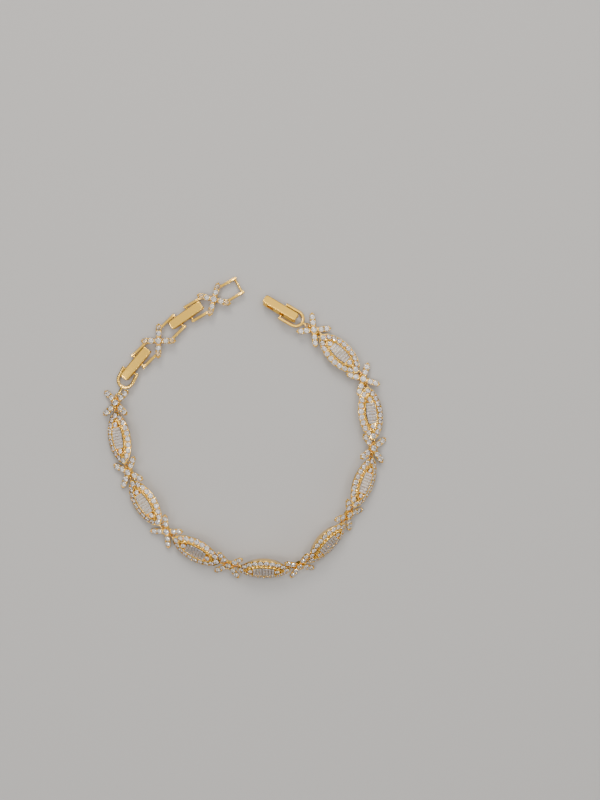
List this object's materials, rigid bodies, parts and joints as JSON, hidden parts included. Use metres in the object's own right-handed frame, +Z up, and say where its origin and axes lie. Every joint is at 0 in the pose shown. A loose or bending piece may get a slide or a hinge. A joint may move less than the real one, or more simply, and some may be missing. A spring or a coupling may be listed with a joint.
{
  "type": "leaf link bracelet",
  "caption": "Gold link bracelet laid open, with two-tier leaf clusters and four-petal flowers set with clear stones, a fold-over clasp and fold-over extender links.",
  "frame": {"origin": "middle of the underside of the bracelet's box, on the surface that it lies on", "axes": "+Z up through the loop, +Y towards the clasp end, +X towards the side of the loop that faces the open frame"},
  "size_m": [0.0704, 0.0752, 0.0056],
  "materials": {
    "gold": "polished gold plating",
    "plate_gold": "soft polished gold plating",
    "crystal": "cut and polished clear stone"
  },
  "bodies": {
    "chain": {"clasp_tray": "plate_gold", "bail": "gold", "flower_01": "gold", "flower_01_stone": "crystal", "leaf_01": "gold", "leaf_01_baguettes": "crystal", "flower_02": "gold", "flower_02_stone": "crystal", "leaf_02": "gold", "leaf_02_baguettes": "crystal", "flower_03": "gold", "flower_03_stone": "crystal", "leaf_03": "gold", "leaf_03_baguettes": "crystal", "flower_04": "gold", "flower_04_stone": "crystal", "leaf_04": "gold", "leaf_04_baguettes": "crystal", "flower_05": "gold", "flower_05_stone": "crystal", "leaf_05": "gold", "leaf_05_baguettes": "crystal", "flower_06": "gold", "flower_06_stone": "crystal", "leaf_06": "gold", "leaf_06_baguettes": "crystal", "flower_07": "gold", "flower_07_stone": "crystal", "leaf_07": "gold", "leaf_07_baguettes": "crystal", "flower_08": "gold", "flower_08_stone": "crystal", "leaf_08": "gold", "leaf_08_baguettes": "crystal", "flower_09": "gold", "flower_09_stone": "crystal", "d_ring": "gold", "extender_1_tray": "plate_gold", "flower_10": "gold", "flower_10_stone": "crystal", "extender_2_tray": "plate_gold", "flower_11": "gold", "flower_11_stone": "crystal"},
    "clasp_cover": {"clasp_cover": "plate_gold"},
    "extender_1_cover": {"extender_1_cover": "plate_gold"},
    "extender_2_cover": {"extender_2_cover": "plate_gold"}
  },
  "joints": [
    {"name": "clasp_cover_hinge", "type": "hinge", "parent": "chain", "child": "clasp_cover", "pos_m": [0.01248, 0.02706, 0.00148], "axis": [0.4704, 0.7831, -0.4067], "range_deg": [0, 100]},
    {"name": "extender_1_cover_hinge", "type": "hinge", "parent": "chain", "child": "extender_1_cover", "pos_m": [-0.02431, 0.01898, 0.00115], "axis": [-0.7572, 0.6341, -0.1564], "range_deg": [0, 100]},
    {"name": "extender_2_cover_hinge", "type": "hinge", "parent": "chain", "child": "extender_2_cover", "pos_m": [-0.01105, 0.03019, 0.00116], "axis": [-0.568, 0.8112, -0.1392], "range_deg": [0, 100]}
  ]
}
